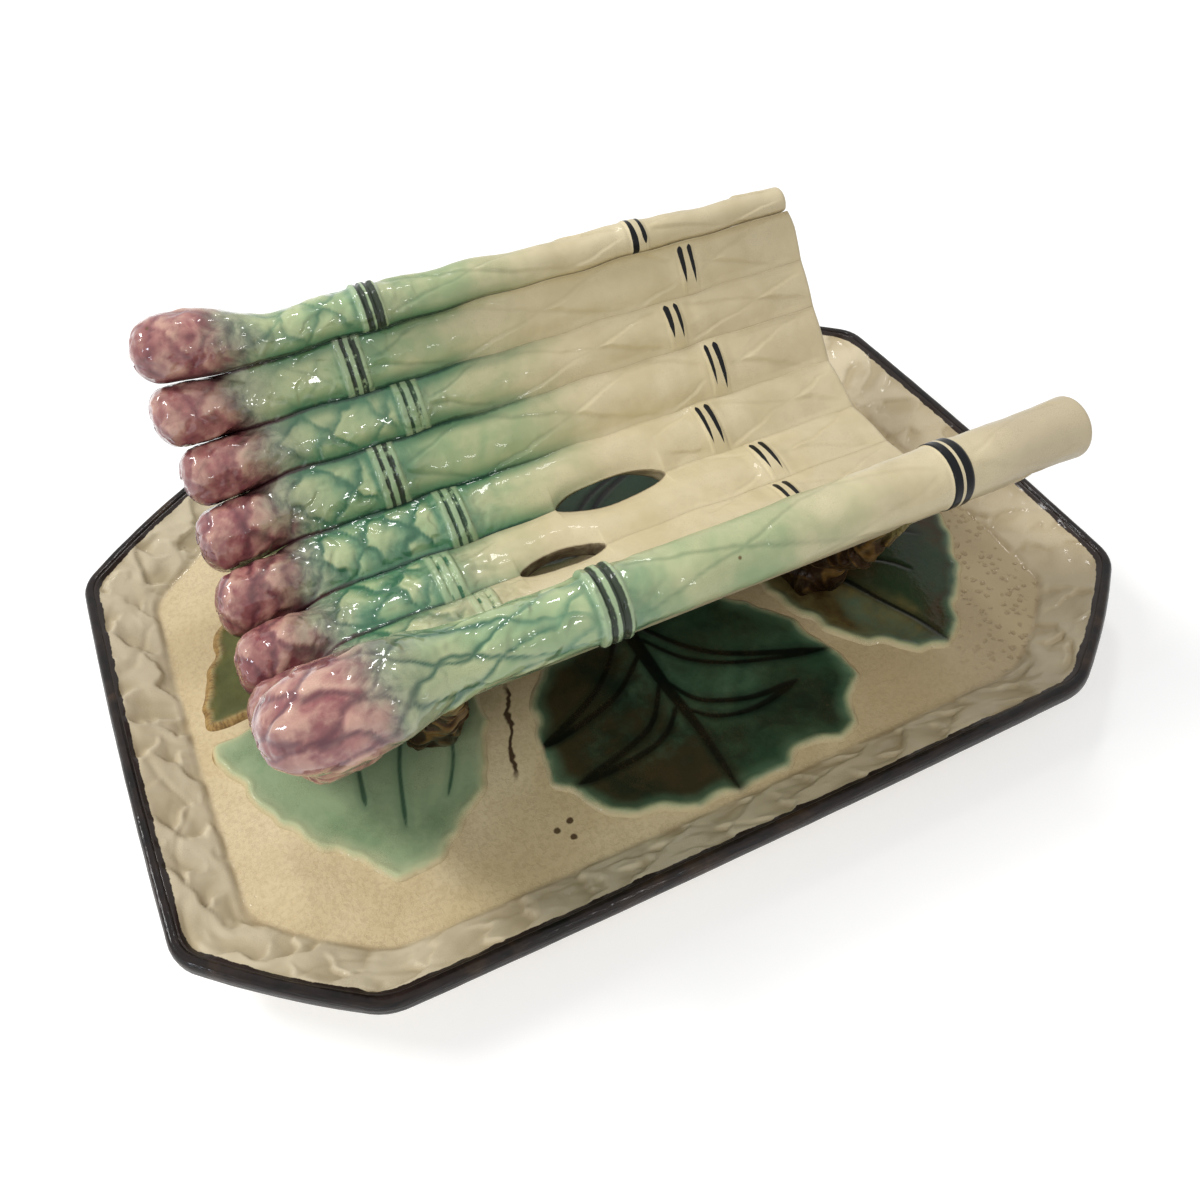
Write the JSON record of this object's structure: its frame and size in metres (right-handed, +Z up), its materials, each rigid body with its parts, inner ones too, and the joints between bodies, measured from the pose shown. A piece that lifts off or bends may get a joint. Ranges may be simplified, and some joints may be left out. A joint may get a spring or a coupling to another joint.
{
  "type": "asparagus plate",
  "caption": "Octagonal serving platter with a raised border, carrying a slotted trough of moulded spears on twig feet that cradles and drains cooked asparagus.",
  "frame": {"origin": "centre of the bounding box at its base, on the table under the middle of the platter", "axes": "+Z up, +X along the platter toward the cut ends of the spears, +Y toward the back"},
  "size_m": [0.342, 0.246, 0.1213],
  "materials": {
    "cream_glaze": "gloss",
    "dark_rim_glaze": "gloss",
    "base_glaze": "gloss",
    "leaf_glaze": "gloss",
    "twig_glaze": "gloss",
    "spear_glaze": "gloss"
  },
  "bodies": {
    "root": {"tray": "cream_glaze", "rim_edge": "dark_rim_glaze", "foot_ring": "base_glaze", "leaf_front": "leaf_glaze", "leaf_back": "leaf_glaze", "leaf_front_left": "leaf_glaze", "leaf_front_right": "leaf_glaze", "leaf_back_left": "leaf_glaze", "leaf_back_right": "leaf_glaze", "foot_front_left": "twig_glaze", "foot_front_right": "twig_glaze", "foot_back_left": "twig_glaze", "foot_back_right": "twig_glaze", "spear_01": "spear_glaze", "spear_02": "spear_glaze", "spear_03": "spear_glaze", "spear_04": "spear_glaze", "spear_05": "spear_glaze", "spear_06": "spear_glaze", "spear_07": "spear_glaze", "spear_08": "spear_glaze", "spear_09": "spear_glaze", "spear_10": "spear_glaze", "spear_11": "spear_glaze", "spear_12": "spear_glaze"}
  },
  "joints": []
}
